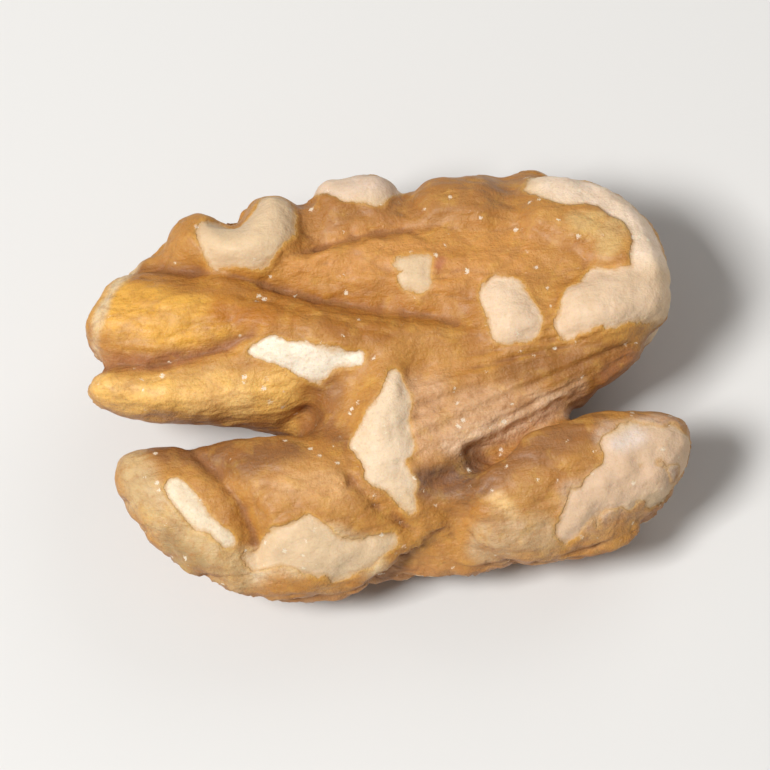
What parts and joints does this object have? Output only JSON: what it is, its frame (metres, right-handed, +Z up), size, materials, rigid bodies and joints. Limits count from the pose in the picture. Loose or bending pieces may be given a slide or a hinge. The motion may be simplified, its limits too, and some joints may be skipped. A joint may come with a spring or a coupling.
{
  "type": "walnut half",
  "caption": "Shelled walnut kernel half with its inner side up: a broad and a narrow lobe joined by a neck, clefts at both ends and a folded round back.",
  "frame": {"origin": "middle of the underside, on the surface that the kernel rests on", "axes": "+X along the nut from its base to its tip, +Y towards the broad lobe, +Z up out of the inner side"},
  "size_m": [0.035, 0.025, 0.012],
  "materials": {
    "kernel": "thin golden-tan seed skin, slightly oily, reddish brown in the creases, with matt cream flesh where the skin is rubbed off the crests"
  },
  "bodies": {
    "root": {"walnut_half": "kernel"}
  },
  "joints": []
}
